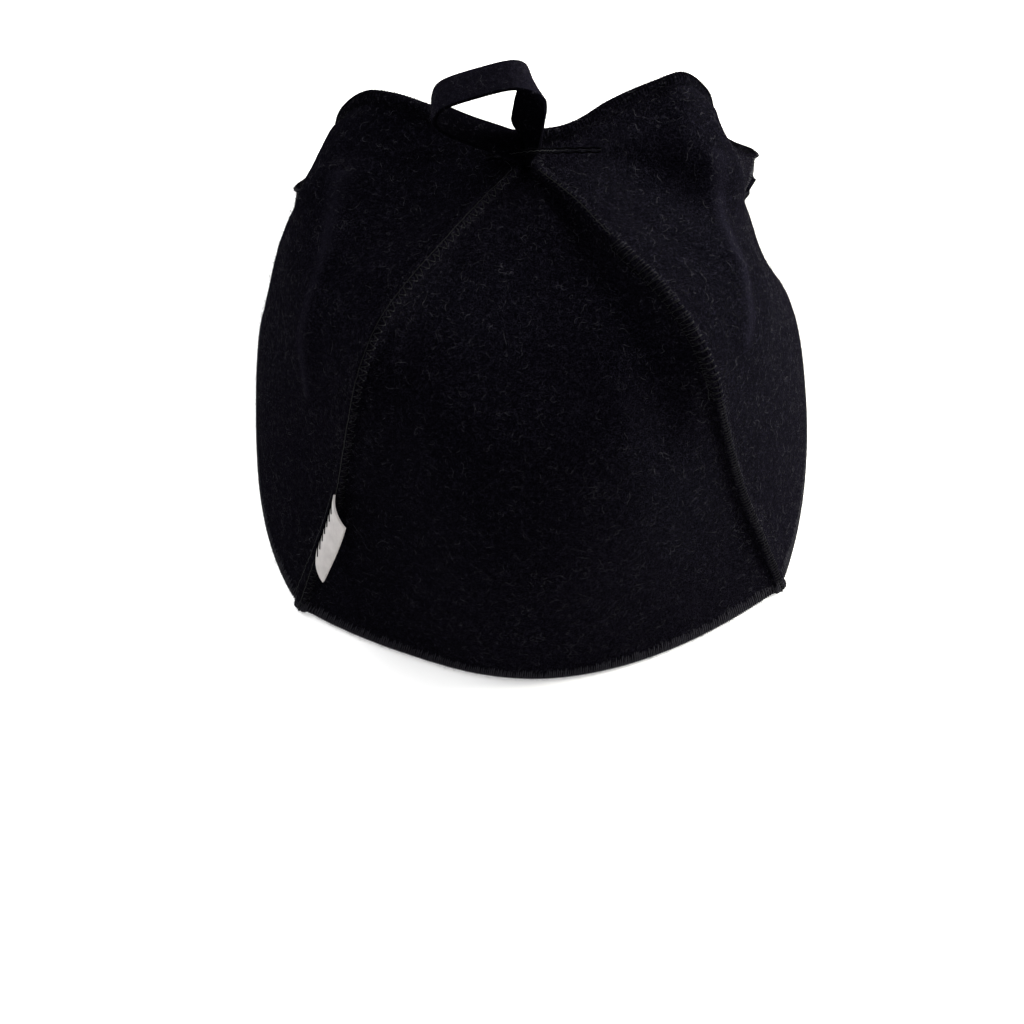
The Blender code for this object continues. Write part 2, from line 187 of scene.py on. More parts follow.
GORES = {
    "gore_front": ("front_left", "front_right"),
    "gore_right": ("front_right", "back_right"),
    "gore_back": ("back_right", "back_left"),
    "gore_left": ("back_left", "front_left"),
}

# Dents and ridges between two places of a gore. depth is a share of the rim's width
Fold = namedtuple("Fold", "across level to_across to_level depth wide")
FOLDS = {
    "gore_front": [
        Fold(0.88, 0.92, 0.88, 0.52, 0.020, 0.07),
        Fold(0.18, 0.32, 0.22, 0.14, 0.018, 0.12),
        Fold(0.10, 0.80, 0.12, 0.45, 0.010, 0.07),
    ],
    "gore_right": [
        Fold(0.96, 0.69, 0.70, 0.66, -0.022, 0.08),
        Fold(0.70, 0.66, 0.25, 0.52, -0.014, 0.09),
        Fold(0.87, 0.00, 0.85, 0.22, 0.068, 0.09),
        Fold(0.62, 0.82, 0.30, 0.78, 0.014, 0.10),
        Fold(0.88, 0.36, 0.88, 0.56, 0.022, 0.08),
        Fold(0.55, 0.68, 0.82, 0.06, 0.030, 0.15),
    ],
    "gore_back": [
        Fold(0.50, 0.60, 0.50, 0.25, 0.012, 0.20),
    ],
    "gore_left": [
        Fold(0.12, 0.68, 0.37, 0.66, -0.020, 0.08),
        Fold(0.37, 0.66, 0.75, 0.50, -0.014, 0.09),
        Fold(0.13, 0.00, 0.14, 0.12, 0.034, 0.09),
        Fold(0.12, 0.12, 0.12, 0.48, 0.040, 0.09),
        Fold(0.40, 0.82, 0.70, 0.78, 0.014, 0.10),
    ],
}

# Narrow creases, with a painted highlight along them, as outside the strap. The value given to a
# point of the felt is 1 where painted shade darkens it and less than 0 where a highlight is painted.
CREASES = {
    "gore_front": [],
    "gore_right": [
        Fold(0.74, 0.70, 0.36, 0.63, -0.005, 0.03),
        Fold(0.36, 0.63, 0.16, 0.54, -0.005, 0.03),
    ],
    "gore_back": [],
    "gore_left": [
        Fold(0.34, 0.71, 0.66, 0.64, -0.006, 0.03),
        Fold(0.66, 0.64, 0.85, 0.42, -0.006, 0.03),
    ],
}
# Strength and width of the painted highlights along the creases, and of the one outside the strap
CREASE_HIGHLIGHT = 0.34
CREASE_HIGHLIGHT_WIDE = 0.013      # share of a gore's width
STRAP_OUTSIDE_HIGHLIGHT = 0.2
SHADE = "painted_light_and_shade"

# The strap's centre line in shares of its span and height, and its twist in degrees
StrapRow = namedtuple("StrapRow", "across up turn")
STRAP = [
    StrapRow(-0.22, 0.12, 0),
    StrapRow(-0.56, 0.27, 0),
    StrapRow(-0.83, 0.43, 0),
    StrapRow(-0.90, 0.57, 0),
    StrapRow(-0.80, 0.74, 0),
    StrapRow(-0.43, 0.90, 0),
    StrapRow(-0.12, 0.99, 0),
    StrapRow(0.04, 0.93, 12),
    StrapRow(0.08, 0.78, 42),
    StrapRow(0.06, 0.58, 62),
    StrapRow(0.03, 0.34, 62),
    StrapRow(0.04, 0.16, 40),
]

HALVES = np.array([RIM_WIDTH / 2, RIM_DEPTH / 2, CROWN_HEIGHT])
APEX = np.array([APEX_ACROSS, APEX_BACK, 1.0]) * HALVES
SLOT_X = LOOP_THICK + 1.5 * GAP
SLOT_Y = LOOP_WIDTH / 2 + GAP
CORE = np.array([0.0, 0.0, CORE_UP * CROWN_HEIGHT])
UP = np.array([0.0, 0.0, 1.0])
Seam = namedtuple("Seam", "crest foot out sideways")

# The felt's slow unevenness, which fades out beside the fins and above the hem
LUMP = 0.00045           # height
SLOW_LUMPS = 38          # a metre
QUICK_LUMPS = 150
SLOW_SHARE = 0.7
QUICK_SHARE = 0.3
QUICK_PLACE = Vector((7, 3, 1))
EVEN_COLUMNS = 6         # columns over which it fades out
EVEN_ROWS = 5

# Thread
THREAD = 0.00013         # radius
HEM_THREAD = 0.00019     # radius
CORE_THREAD = 0.0004     # radius
TACK_THREAD = 0.0004     # radius
TAIL_THREAD = 0.00034    # radius
THREAD_SIDES = 5
HEM_LIFT = 0.00055       # the felt's edge stands this far above the floor, on its stitches
HEM_ROUND = 0.0009       # how far the overlock pulls the felt's edge together
SEED = 8


def unit(a):
    return a / np.maximum(np.linalg.norm(a, axis=-1, keepdims=True), TINY)


def ease(t):
    t = np.clip(t, 0.0, 1.0)
    return t * t * (3 - 2 * t)


def lengths_along(line):
    steps = np.linalg.norm(np.diff(line, axis=0), axis=1)
    return np.concatenate([[0.0], np.cumsum(steps)])


def spaced(line, shares):
    """Points of a line at the given shares of its length."""
    run = lengths_along(line)
    goals = np.asarray(shares) * run[-1]
    return np.stack([np.interp(goals, run, line[:, k]) for k in range(3)], axis=-1)


def smooth(points, count):
    """A smooth line through the points, read at count + 1 places an equal way apart."""
    p = np.array(points)
    ends = np.concatenate([[2 * p[0] - p[1]], p, [2 * p[-1] - p[-2]]])
    t = (np.arange(CURVE_STEPS) / CURVE_STEPS)[:, None]
    fine = []
    for p0, p1, p2, p3 in zip(ends, ends[1:], ends[2:], ends[3:]):
        bend = (2 * p0 - 5 * p1 + 4 * p2 - p3) * t ** 2
        twist = (3 * p1 - p0 - 3 * p2 + p3) * t ** 3
        fine.append(0.5 * (2 * p1 + (p2 - p0) * t + bend + twist))
    fine.append(p[-1:])
    return spaced(np.concatenate(fine), np.linspace(0, 1, count + 1))


def places(rows):
    return [np.array([row.across, row.back, row.up]) * HALVES for row in rows]


def short(gore):
    return gore.removeprefix("gore_")


def slot_corner(name):
    side = 1 if name.endswith("right") else -1
    end = 1 if name.startswith("back") else -1
    return APEX + np.array([side * SLOT_X, end * SLOT_Y, 0.0])


def seam(name):
    """A seam at each row: crest, foot on the felt, and its outward and sideways directions."""
    crest = smooth(places(SEAMS[name]) + [slot_corner(name)], RIM_TO_APEX)
    rows = np.arange(RIM_TO_APEX + 1)
    along = unit(crest[np.minimum(rows + 1, RIM_TO_APEX)] - crest[np.maximum(rows - 1, 0)])
    out = crest - CORE
    out = unit(out - along * np.sum(out * along, axis=1, keepdims=True))
    level = unit(crest * [1, 1, 0])
    near = ease(rows / RIM_TO_APEX * FIN_TURN)[:, None]
    out = unit(level * (1 - near) + out * near)
    last = ease((RIM_TO_APEX - rows) / RIM_TO_APEX * FIN_TURN)[:, None]
    out = unit(UP * (1 - last) + out * last)
    rise = SEAM_RISE * (RIM_RISE + (1 - RIM_RISE) * ease(rows / RIM_TO_APEX / RIM_FADE))
    return Seam(crest, crest - out * rise[:, None], out, unit(np.cross(along, out)))


def away_from(fold, across, level):
    """Distance from a fold's line at each place of a gore."""
    run = (fold.to_across - fold.across, fold.to_level - fold.level)
    gone = (across - fold.across, level - fold.level)
    t = (gone[0] * run[0] + gone[1] * run[1]) / (run[0] ** 2 + run[1] ** 2)
    t = np.clip(t, 0.0, 1.0)
    return np.hypot(gone[0] - t * run[0], gone[1] - t * run[1])


def fold_depth(gore, across, level):
    total = np.zeros_like(across)
    for fold in FOLDS[gore] + CREASES[gore]:
        away = away_from(fold, across, level)
        total += fold.depth * RIM_WIDTH * np.exp(-(away / fold.wide) ** 2)
    return total


def crease_highlights(gore, outer, inner):
    """How much painted highlight each point of a gore's rings gets along the creases, outside only."""
    columns = (np.arange(outer.shape[1]) - len(FIN_PROFILE)) / ACROSS
    across, level = np.meshgrid(columns, np.linspace(0, 1, RIM_TO_APEX + 1))
    total = np.zeros_like(across)
    for fold in CREASES[gore]:
        total = np.maximum(total, np.exp(-(away_from(fold, across, level) / CREASE_HIGHLIGHT_WIDE) ** 2))
    return np.concatenate([CREASE_HIGHLIGHT * total, np.zeros(inner.shape[:2])], axis=1)


def normals_of(grid):
    """Outward normals of a grid of points, level at the rim and upright at the slot."""
    down, wide = (np.arange(n) for n in grid.shape[:2])
    across = grid[:, np.minimum(wide + 1, wide[-1])] - grid[:, np.maximum(wide - 1, 0)]
    along = grid[np.minimum(down + 1, down[-1])] - grid[np.maximum(down - 1, 0)]
    normals = unit(np.cross(across, along))
    normals[0] = unit(normals[0] * [1, 1, 0])
    normals[-1] = UP
    return normals


def outer_face(gore, first, second):
    """The felt's outer face, with its folds, from one seam's foot to the other's."""
    edge = (slot_corner(GORES[gore][0]) + slot_corner(GORES[gore][1])) / 2 - UP * SEAM_RISE
    middle = smooth(places(MIDDLES[gore]) + [edge], RIM_TO_APEX)
    full = [row.full for row in MIDDLES[gore]]
    levels = np.linspace(0, 1, RIM_TO_APEX + 1)
    full = np.interp(levels, np.linspace(0, 1, len(full)), full)[:, None]
    across = np.linspace(0, 1, FINE_ACROSS + 1)[None, :]
    share = (1 - np.abs(2 * across - 1) ** full)[..., None]
    start, end = first.foot[:, None], second.foot[:, None]
    bulge = middle[:, None] - (start + end) / 2
    grid = start + (end - start) * across[..., None] + bulge * share
    seams = np.minimum(1.0, np.minimum(across, 1 - across) / SEAM_HOLD)
    held = seams * np.minimum(1.0, (1 - levels[:, None]) / APEX_HOLD)
    depth = fold_depth(gore, across + 0 * levels[:, None], levels[:, None] + 0 * across)
    return grid - normals_of(grid) * (depth * held)[..., None]


def lumps(points):
    """Slow unevenness of the felt at each point, from -1 to 1."""
    found = []
    for x, y, z in points.reshape(-1, 3):
        place = Vector((x, y, z))
        slow = noise.noise(place * SLOW_LUMPS)
        quick = noise.noise(place * QUICK_LUMPS + QUICK_PLACE)
        found.append(SLOW_SHARE * slow + QUICK_SHARE * quick)
    return np.array(found).reshape(points.shape[:-1])


def gore_faces(gore):
    """The outer and the inner face of a gore, as grids of the same size, with its halves of fins."""
    first, second = seam(GORES[gore][0]), seam(GORES[gore][1])
    rows = outer_face(gore, first, second)
    fine_normals = normals_of(rows)
    outers = []
    inners = []
    steps = len(FIN_PROFILE) + 1
    for i, row in enumerate(rows):
        width = lengths_along(row)[-1]
        fin = min(SEAM_HALF, MOST_FIN * width) / width
        inside = 2 * fin + (1 - 4 * fin) * np.linspace(0, 1, ACROSS + 1)
        shares = np.concatenate([[fin], inside, [1 - fin]])
        points = spaced(row, shares)
        at = np.clip(shares * FINE_ACROSS, 0, FINE_ACROSS - 1e-6)
        low = at.astype(int)
        rest = (at - low)[:, None]
        normals = unit(fine_normals[i][low] * (1 - rest) + fine_normals[i][low + 1] * rest)
        ends = []
        for edge_seam, side, foot, normal in (
            (first, -1, points[0], normals[0]),
            (second, 1, points[-1], normals[-1]),
        ):
            crest, base = edge_seam.crest[i], edge_seam.foot[i]
            inward = -side * edge_seam.sideways[i]
            rise = np.linalg.norm(crest - base)
            wide = np.linalg.norm(foot - base)
            line = [
                crest - edge_seam.out[i] * rise * drop + inward * max(wide * out, GAP / 2)
                for drop, out in FIN_PROFILE
            ]
            line.append(foot + normal * rise * FOOT_ROUND)
            ends.append(line)
        outers.append(np.array(ends[0] + list(points[1:-1]) + ends[1][::-1]))
        inner = points - normals * FELT
        lines = []
        for edge_seam, side, clear in ((first, -1, inner[2]), (second, 1, inner[-3])):
            sideways = side * edge_seam.sideways[i] * GAP / 2
            edge = edge_seam.foot[i] - edge_seam.out[i] * MITRE * FELT - sideways
            line = [edge + (clear - edge) * k / (steps + 1) for k in range(steps + 1)]
            lines.append(line)
        inners.append(np.array(lines[0] + list(inner[2:-2]) + lines[1][::-1]))
    return np.array(outers), np.array(inners)


def rounded_hem(outer, inner):
    """Draws the felt's edge together and lifts it on to its stitches."""
    thick = unit(inner[0] - outer[0])
    outer[0] += thick * HEM_ROUND
    inner[0] -= thick * HEM_ROUND
    for face in (outer, inner):
        face[0, :, 2] = HEM_LIFT
        face[1:, :, 2] = np.maximum(face[1:, :, 2], HEM_LIFT)


def dress_felt(outer):
    """Adds the felt's unevenness to an outer face, none of it at the hem or on a fin."""
    steps = len(FIN_PROFILE) + 1
    count = outer.shape[1]
    k = np.minimum(np.arange(count), count - 1 - np.arange(count))
    across = ease((k - steps + 1) / EVEN_COLUMNS)[None, :]
    level = ease(np.arange(outer.shape[0]) / EVEN_ROWS)[:, None]
    outer += normals_of(outer) * (lumps(outer) * LUMP * across * level)[..., None]


def add_object(name, data):
    thing = bpy.data.objects.new(name, data)
    bpy.context.scene.collection.objects.link(thing)
    return thing


shown = []


def new_piece(name, solid, skin, sharp=None):
    """A piece of the model from its points and faces, none of them below the floor."""
    mesh = bpy.data.meshes.new(name)
    verts, faces = solid
    verts = np.array(verts)
    verts[:, 2] = np.maximum(verts[:, 2], 0.0)
    mesh.from_pydata(verts.tolist(), [], [list(face) for face in faces])
    mesh.validate()
    mesh.shade_smooth()
    if sharp:
        mesh.set_sharp_from_angle(angle=math.radians(sharp))
    mesh.materials.append(skin)
    piece = add_object(name, mesh)
    shown.append(piece)
    return piece


def closed_sections(sections):
    """Points and faces of a closed solid through equal rings of points."""
    rings, size = sections.shape[:2]
    faces = []
    for i in range(rings - 1):
        for k in range(size):
            n = (k + 1) % size
            faces.append((i * size + k, i * size + n, (i + 1) * size + n, (i + 1) * size + k))
    for k in range(size // 2 - 1):
        faces.append((k + 1, k, size - 1 - k, size - 2 - k))
        last = (rings - 1) * size
        faces.append((last + k, last + k + 1, last + size - 2 - k, last + size - 1 - k))
    return sections.reshape(-1, 3), faces


def tubes(lines, radius):
    """Points and faces of threads. Each line is a pair of its points and their normals."""
    verts = []
    faces = []
    base = 0
    sides = THREAD_SIDES
    turn = 2 * np.pi * np.arange(sides) / sides
    for points, normals in lines:
        along = unit(np.gradient(points, axis=0))
        side = unit(np.cross(along, normals))
        up = np.cross(side, along)
        ring = side[:, None] * np.cos(turn)[None, :, None] + up[:, None] * np.sin(turn)[None, :, None]
        verts.append((points[:, None] + ring * radius).reshape(-1, 3))
        count = len(points)
        for i in range(count - 1):
            for k in range(sides):
                n = (k + 1) % sides
                a = base + i * sides
                b = a + sides
                faces.append((a + k, a + n, b + n, b + k))
        faces.append(tuple(base + k for k in range(sides))[::-1])
        faces.append(tuple(base + (count - 1) * sides + k for k in range(sides)))
        base += count * sides
    return np.concatenate(verts), faces


def set_painted_shade(piece, amounts):
    """Gives each point of a felt piece its painted shade or painted highlight."""
    shade = piece.data.attributes.new(SHADE, "FLOAT", "POINT")
    shade.data.foreach_set("value", np.asarray(amounts, dtype=np.float32))


# Materials. A grain is a noise that counts as 0 where it is at low or less and as 1 at high or more.
Grain = namedtuple("Grain", "scale detail distortion low high")
FLECKS = Grain(1250, 3, 2.2, 0.50, 0.66)
FINE_FLECKS = Grain(2600, 2, 1.0, 0.46, 0.66)
HAIR_PATCHES = Grain(520, 1, 0.0, 0.48, 0.62)

# A hair lies where a noise is within half of its centre
HairLine = namedtuple("HairLine", "scale centre half")
HAIR_LINES = [HairLine(190, 0.46, 0.012), HairLine(290, 0.55, 0.016), HairLine(430, 0.50, 0.020)]
HAIR_DETAIL = 1.5
HAIR_DISTORTION = 0.6

# What the flecks, the fine flecks and the hairs each add to the felt's tone and to its height
TONE_SHARES = (0.42, 0.22, 0.40)
HEIGHT_SHARES = (0.60, 0.25, 0.40)
# How far the painted shade darkens the felt's tone and a painted highlight lightens it
SHADE_TONE = 0.9

Bump = namedtuple("Bump", "strength distance")
FELT_BUMP = Bump(0.9, 0.0005)
THREAD_BUMP = Bump(0.6, 0.0001)
TAPE_BUMP = Bump(0.4, 0.0001)
PLIES = 2600             # noise scale of a thread's twist
WOOL = Grain(700, 1, 0.0, 0.40, 0.62)
TAPE = Grain(300, 2.0, 0.0, 0.3, 0.7)
TAPE_THREADS = 640       # scale of the warp and of the weft
TAPE_UNEVEN = 0.6
TAPE_COLOUR = (0.41, 0.385, 0.38)
TAPE_DARK = (0.370, 0.346, 0.342)
TAPE_PALE = (0.442, 0.418, 0.410)

# Tones of the felt and the wool from dark to pale, and each thread's colour and gloss
FELT_TONES = ((0.0006, 0.0005, 0.0011), (0.0125, 0.0115, 0.0190))
WOOL_TONES = ((0.0009, 0.0008, 0.0014), (0.0150, 0.0140, 0.0210))
CURL_TONES = ((0.0060, 0.0058, 0.0078), (0.0330, 0.0320, 0.0390))
THREAD_LOOK = ((0.0045, 0.0045, 0.0055), 0.06)
DULL_LOOK = ((0.0010, 0.0010, 0.0014), 0.0)
HEM_LOOK = ((0.0190, 0.0180, 0.0235), 0.02)
WHITE = (1.0, 1.0, 1.0)


def set_sockets(node, values):
    for socket, value in values.items():
        node.inputs[socket].default_value = value


def new_material(name, colour, roughness):
    skin = bpy.data.materials.new(name)
    skin.use_nodes = True
    shader = skin.node_tree.nodes["Principled BSDF"]
    set_sockets(shader, {"Base Color": (*colour, 1.0), "Roughness": roughness})
    return skin, shader


class Nodes:
    """Short calls for a material's nodes. Every texture is read in the object's own metres."""

    def __init__(self, skin):
        self.nodes = skin.node_tree.nodes
        self.links = skin.node_tree.links
        self.place = self.nodes.new("ShaderNodeTexCoord").outputs["Object"]

    def add(self, kind, values):
        node = self.nodes.new(kind)
        set_sockets(node, values)
        return node

    def noise(self, scale, detail=2.0, distortion=0.0):
        values = {"Scale": scale, "Detail": detail, "Distortion": distortion}
        node = self.add("ShaderNodeTexNoise", values)
        self.links.new(self.place, node.inputs["Vector"])
        return node.outputs["Fac"]

    def maths(self, operation, *values):
        node = self.nodes.new("ShaderNodeMath")
        node.operation = operation
        for socket, value in zip(node.inputs, values):
            if isinstance(value, (int, float)):
                socket.default_value = value
            else:
                self.links.new(value, socket)
        return node.outputs[0]

    def level(self, grain):
        """0 to 1 from a grain's low to its high."""
        node = self.add("ShaderNodeMapRange", {"From Min": grain.low, "From Max": grain.high})
        value = self.noise(grain.scale, grain.detail, grain.distortion)
        self.links.new(value, node.inputs["Value"])
        return node.outputs["Result"]

    def blend(self, values, shares):
        """The sum of the values, each times its share."""
        total = 0.0
        for value, share in zip(values, shares):
            total = self.maths("ADD", total, self.maths("MULTIPLY", value, share))
        return total

    def tones(self, value, low, high, dark, pale, socket):
        """Sends a colour between dark and pale to a socket as the value goes from low to high."""
        node = self.nodes.new("ShaderNodeValToRGB")
        first, last = node.color_ramp.elements
        first.position, last.position = low, high
        first.color, last.color = (*dark, 1.0), (*pale, 1.0)
        self.links.new(value, node.inputs["Fac"])
        self.links.new(node.outputs["Color"], socket)

    def bump(self, height, bump, shader):
        values = {"Strength": bump.strength, "Distance": bump.distance}
        node = self.add("ShaderNodeBump", values)
        self.links.new(height, node.inputs["Height"])
        self.links.new(node.outputs["Normal"], shader.inputs["Normal"])


def felt_material(name, dark, pale):
    """Near-black wool felt: fine even flecks, thin curled hairs and a soft nap.

    A point's own value darkens the felt there with painted shade, or makes it paler with a painted
    highlight."""
    skin, shader = new_material(name, dark, 0.95)
    kit = Nodes(skin)
    lines = []
    for line in HAIR_LINES:
        field = kit.noise(line.scale, HAIR_DETAIL, HAIR_DISTORTION)
        gap = kit.maths("ABSOLUTE", kit.maths("SUBTRACT", field, line.centre))
        near = kit.maths("SUBTRACT", 1.0, kit.maths("DIVIDE", gap, line.half))
        lines.append(kit.maths("MAXIMUM", near, 0.0))
    hairs = kit.maths("MAXIMUM", kit.maths("MAXIMUM", lines[0], lines[1]), lines[2])
    hairs = kit.maths("MULTIPLY", hairs, kit.level(HAIR_PATCHES))
    parts = (kit.level(FLECKS), kit.level(FINE_FLECKS), hairs)
    # Painted shade and painted highlights from each point's own value
    shade = kit.nodes.new("ShaderNodeAttribute")
    shade.attribute_name = SHADE
    painted_light_and_shade = kit.maths("MULTIPLY", shade.outputs["Fac"], SHADE_TONE)
    amount = kit.maths("SUBTRACT", kit.blend(parts, TONE_SHARES), painted_light_and_shade)
    kit.tones(amount, 0.0, 1.0, dark, pale, shader.inputs["Base Color"])
    kit.bump(kit.blend(parts, HEIGHT_SHARES), FELT_BUMP, shader)
    set_sockets(shader, {
        "Specular IOR Level": 0.0,
        "Sheen Weight": 0.006,
        "Sheen Roughness": 0.45,
        "Sheen Tint": (0.70, 0.68, 0.88, 1.0),
    })
    return skin


def thread_material(name, colour, gloss):
    """Black sewing thread with the twist of its plies."""
    skin, shader = new_material(name, colour, 0.55)
    kit = Nodes(skin)
    kit.bump(kit.noise(PLIES), THREAD_BUMP, shader)
    set_sockets(shader, {"Specular IOR Level": gloss})
    return skin


def fibre_material(name, dark, pale):
    """Loose wool, in uneven tones."""
    skin, shader = new_material(name, pale, 0.7)
    kit = Nodes(skin)
    tone = kit.noise(WOOL.scale, WOOL.detail)
    kit.tones(tone, WOOL.low, WOOL.high, dark, pale, shader.inputs["Base Color"])
    set_sockets(shader, {"Specular IOR Level": 0.02})
    return skin


def tag_material():
    """Cream woven tape: fine warp and weft, a little uneven in tone."""
    skin, shader = new_material("cream_tape", TAPE_COLOUR, 0.75)
    kit = Nodes(skin)
    weaves = []
    for direction in ("X", "Z"):
        values = {"Scale": TAPE_THREADS, "Distortion": TAPE_UNEVEN}
        wave = kit.add("ShaderNodeTexWave", values)
        wave.bands_direction = direction
        kit.links.new(kit.place, wave.inputs["Vector"])
        weaves.append(wave.outputs["Fac"])
    tone = kit.noise(TAPE.scale, TAPE.detail)
    kit.tones(tone, TAPE.low, TAPE.high, TAPE_DARK, TAPE_PALE, shader.inputs["Base Color"])
    kit.bump(kit.maths("MULTIPLY", *weaves), TAPE_BUMP, shader)
    set_sockets(shader, {"Sheen Weight": 0.1})
    return skin


# Surfaces that stitches follow
STRIP_STEP = 0.0002
STRIP_REACH = 0.008


class EdgeStrip:
    """A band of surface beside an edge: rows run along the edge, columns go away from it."""

    def __init__(self, lines, reach):
        shares = np.arange(0, reach, STRIP_STEP)
        bands = []
        for line in lines:
            run = lengths_along(line)
            bands.append(spaced(line, np.minimum(shares / run[-1], 1.0)))
        self.grid = np.array(bands)
        along = np.gradient(self.grid, axis=0)
        away = np.gradient(self.grid, axis=1)
        self.normals = unit(np.cross(away, along))
        self.run = lengths_along(self.grid[:, 0])

    def read(self, lengths, away, lift, flip):
        """Points and normals at lengths along the edge and distances away from it."""
        row = np.interp(lengths, self.run, np.arange(len(self.run)))
        row = np.clip(row, 0, len(self.run) - 1 - INSIDE)
        column = np.clip(np.asarray(away) / STRIP_STEP, 0, self.grid.shape[1] - 1 - INSIDE)
        i, k = row.astype(int), column.astype(int)
        s, t = (row - i)[:, None], (column - k)[:, None]
        found = []
        for grid in (self.grid, self.normals):
            low = grid[i, k] * (1 - t) + grid[i, k + 1] * t
            high = grid[i + 1, k] * (1 - t) + grid[i + 1, k + 1] * t
            found.append(low * (1 - s) + high * s)
        normals = unit(found[1]) * flip
        return found[0] + normals * np.asarray(lift)[:, None], normals


# The lifts say how far a stitch stands off the felt at places along it, in radii of its thread.
# Pairs are the least and the most of what the machine sews, as shares of what was set.
OVER_LIFT = np.array([-0.8, 0.7, 1.0, 0.9, 0.7])
VEE_LIFT = np.array([0.2, 0.9, 0.9, -0.2])
RAIL_LIFT = 0.6
UNEVEN = (0.85, 1.15)
VEE_LEAN = (0.7, 1.3)
VEE_TIP = (0.8, 1.1)
VEE_NEXT = (0.8, 1.0)    # where the second leg of a V starts, in pitches
RAIL_UNEVEN = 0.4        # share of its lift
RAIL_WANDER = 0.0002
RAIL_STEP = 0.0012


def over_the_edge(near, far, stretch, pitch, reach, lean, rng, spare=0.5, thick=THREAD):
    """Stitches that wrap an edge, each from the near face over the edge to the far one.

    spare is how much the reach varies, as a share of it, and thick the radius of the thread."""
    lines = []
    at = stretch[0] + pitch / 2
    shares = np.linspace(0, 1, len(OVER_LIFT))
    lift = thick * OVER_LIFT
    while at < stretch[1] - pitch / 2:
        wide = reach[0] * rng.uniform(1 - spare / 2, 1 + spare / 2)
        back = reach[1] * rng.uniform(1 - spare / 2, 1 + spare / 2)
        start = at + lean * rng.uniform(*UNEVEN)
        a, an = near[0].read(start + (at - start) * shares, wide * (1 - shares), lift, near[1])
        b, bn = far[0].read(at + 0 * shares, back * shares, lift[::-1], far[1])
        lines.append((np.concatenate([a, b[1:]]), np.concatenate([an, bn[1:]])))
        at += pitch * rng.uniform(*UNEVEN)
    return lines


def zigzag(strip, stretch, pitch, low, high, rng):
    """V stitches on one face: from one line to a line further from the edge and back."""
    lines = []
    at = stretch[0] + pitch / 2
    shares = np.linspace(0, 1, len(VEE_LIFT))
    while at < stretch[1] - pitch:
        top = at + pitch / 2 * rng.uniform(*VEE_LEAN)
        tip = high * rng.uniform(*VEE_TIP)
        away = low + (tip - low) * shares
        for start in (at, at + pitch * rng.uniform(*VEE_NEXT)):
            along = start + (top - start) * shares
            lines.append(strip[0].read(along, away, THREAD * VEE_LIFT, strip[1]))
        at += pitch * rng.uniform(*UNEVEN)
    return lines


def rail(strip, stretch, away, rng):
    """One thread that runs beside the edge at a distance, a little wavy."""
    at = np.arange(stretch[0] + RAIL_STEP, stretch[1] - RAIL_STEP, RAIL_STEP)
    away = away + rng.uniform(-RAIL_WANDER, RAIL_WANDER, len(at))
    lift = THREAD * RAIL_LIFT * (1 + rng.uniform(-RAIL_UNEVEN, RAIL_UNEVEN, len(at)))
    return [strip[0].read(at, away, lift, strip[1])]


# A loose fibre lies in an arch, as high as lowest to highest, and curls as far as its bend
Fibre = namedtuple("Fibre", "steps shortest longest half_width lowest highest bend")
BITS = Fibre(3, 0.0006, 0.0019, 0.00005, 0.00005, 0.0003, 1.0)
CURLS = Fibre(7, 0.0020, 0.0062, 0.00005, 0.0001, 0.0008, 3.0)
NAP = Fibre(3, 0.0008, 0.0022, 0.00003, 0.0005, 0.0015, 1.2)
CURL_WAVE = (0.1, 0.5)   # of its bend
CURL_TURN = 5            # radians over its length
ARCH_START = 0.15        # of a full arch
ARCH_SHARE = 0.8
ARCH_SUNK = 0.00005
FIBRE_WIDTHS = (0.7, 1.3)
FIBRE_TAPER = 0.7        # share of its width that it loses at its ends
TAPER_POWER = 4


def fibres(name, kind, points, normals, rng, skin):
    """Loose fibres as thin ribbons that lie on the felt or stand out of it."""
    count = len(points)
    first = unit(np.cross(normals, unit(rng.normal(size=(count, 3)))))
    second = np.cross(normals, first)
    size = rng.uniform(kind.shortest, kind.longest, count)
    bend = rng.normal(0, kind.bend, count)
    wave = rng.uniform(*CURL_WAVE, count) * kind.bend
    phase = rng.uniform(0, 2 * np.pi, count)
    height = rng.uniform(kind.lowest, kind.highest, count)
    steps = np.linspace(0, 1, kind.steps + 1)
    x = np.zeros(count)
    y = np.zeros(count)
    spine = []
    sides = []
    for t in steps:
        heading = bend * t + wave * np.sin(phase + CURL_TURN * t)
        x = x + np.cos(heading) * size / kind.steps
        y = y + np.sin(heading) * size / kind.steps
        z = height * np.sin(np.pi * (ARCH_START + ARCH_SHARE * t)) - ARCH_SUNK
        spine.append(points + first * x[:, None] + second * y[:, None] + normals * z[:, None])
        sides.append(second * np.cos(heading)[:, None] - first * np.sin(heading)[:, None])
    spine = np.array(spine)
    sides = np.array(sides)
    wide = (kind.half_width * rng.uniform(*FIBRE_WIDTHS, count))[None, :, None]
    wide = wide * (1 - FIBRE_TAPER * np.abs(2 * steps - 1) ** TAPER_POWER)[:, None, None]
    verts = np.stack([spine - sides * wide, spine + sides * wide], axis=1)
    verts = verts.transpose(2, 0, 1, 3).reshape(-1, 3)
    base = (np.arange(count) * 2 * len(steps))[:, None]
    faces = [base + np.array([[2 * k, 2 * k + 1, 2 * k + 3, 2 * k + 2]]) for k in range(kind.steps)]
    new_piece(name, (verts, np.concatenate(faces).tolist()), skin)


def scatter(face, count, rng):
    """Random places on a grid of points, evenly by area, and their normals."""
    normals = normals_of(face)
    a, b = face[:-1, :-1], face[1:, 1:]
    c, d = face[1:, :-1], face[:-1, 1:]
    area = np.linalg.norm(np.cross(b - a, c - d), axis=-1) / 2
    chance = np.cumsum(area.ravel()) / area.sum()
    picks = np.searchsorted(chance, rng.random(count))
    i, k = np.divmod(np.minimum(picks, area.size - 1), area.shape[1])
    s, t = rng.random((2, count, 1))
    points = (face[i, k] * (1 - s) + face[i + 1, k] * s) * (1 - t)
    points = points + (face[i, k + 1] * (1 - s) + face[i + 1, k + 1] * s) * t
    return points, normals[i, k]


